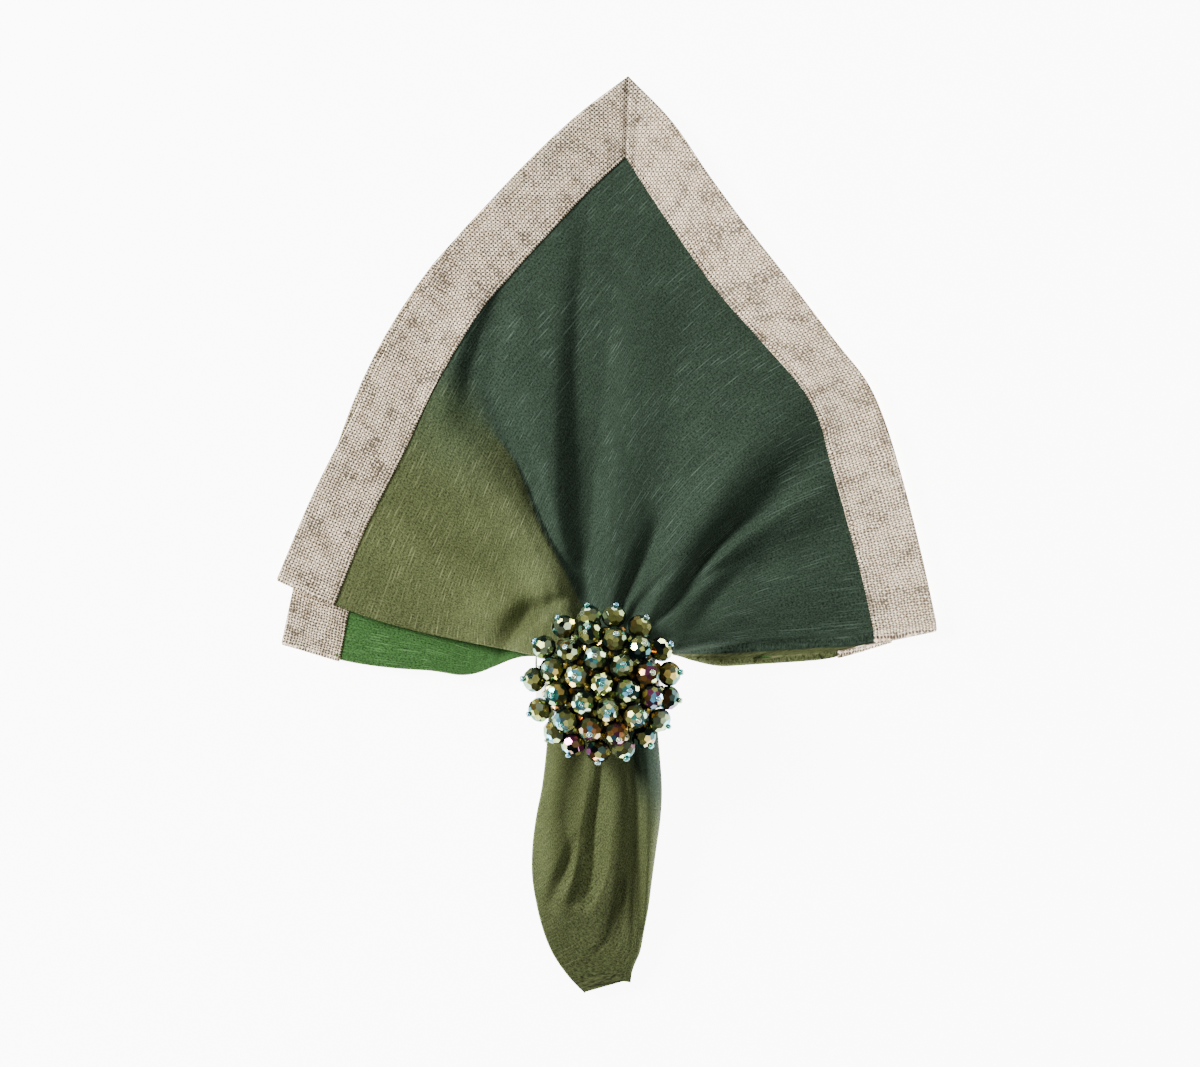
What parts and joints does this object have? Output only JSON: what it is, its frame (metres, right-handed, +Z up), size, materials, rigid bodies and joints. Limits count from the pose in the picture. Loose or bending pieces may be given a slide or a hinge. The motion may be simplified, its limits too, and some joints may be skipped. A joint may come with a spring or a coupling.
{
  "type": "napkin in a ring",
  "caption": "Square cloth napkin with a mitred linen border, folded square and drawn through a beaded napkin ring, fanned out above the ring with a short tail below it.",
  "frame": {"origin": "centre of the bounding box in plan, on the surface that the napkin lies on", "axes": "+X to the right of the fan, +Y from the tail towards the napkin's four free corners, +Z up"},
  "size_m": [0.2606, 0.3618, 0.0506],
  "materials": {
    "green_cloth": "slubbed plain weave, shaded from dark green to olive and bright green",
    "linen": "open plain weave, undyed",
    "band_metal": "satin",
    "bead_glass": "faceted glass with an iridescent metallic coating"
  },
  "bodies": {
    "root": {"green_cloth": "green_cloth", "linen_top_left": "linen", "linen_top_right": "linen", "linen_low_left": "linen", "linen_low_right": "linen", "ring_band": "band_metal", "ring_dome": "band_metal", "bead_01": "bead_glass", "bead_02": "bead_glass", "bead_03": "bead_glass", "bead_04": "bead_glass", "bead_05": "bead_glass", "bead_06": "bead_glass", "bead_07": "bead_glass", "bead_08": "bead_glass", "bead_09": "bead_glass", "bead_10": "bead_glass", "bead_11": "bead_glass", "bead_12": "bead_glass", "bead_13": "bead_glass", "bead_14": "bead_glass", "bead_15": "bead_glass", "bead_16": "bead_glass", "bead_17": "bead_glass", "bead_18": "bead_glass", "bead_19": "bead_glass", "bead_20": "bead_glass", "bead_21": "bead_glass", "bead_22": "bead_glass", "bead_23": "bead_glass", "bead_24": "bead_glass", "bead_25": "bead_glass", "bead_26": "bead_glass", "bead_27": "bead_glass", "bead_28": "bead_glass", "bead_29": "bead_glass", "bead_30": "bead_glass", "bead_31": "bead_glass", "bead_32": "bead_glass", "bead_33": "bead_glass", "bead_34": "bead_glass", "bead_35": "bead_glass"}
  },
  "joints": []
}
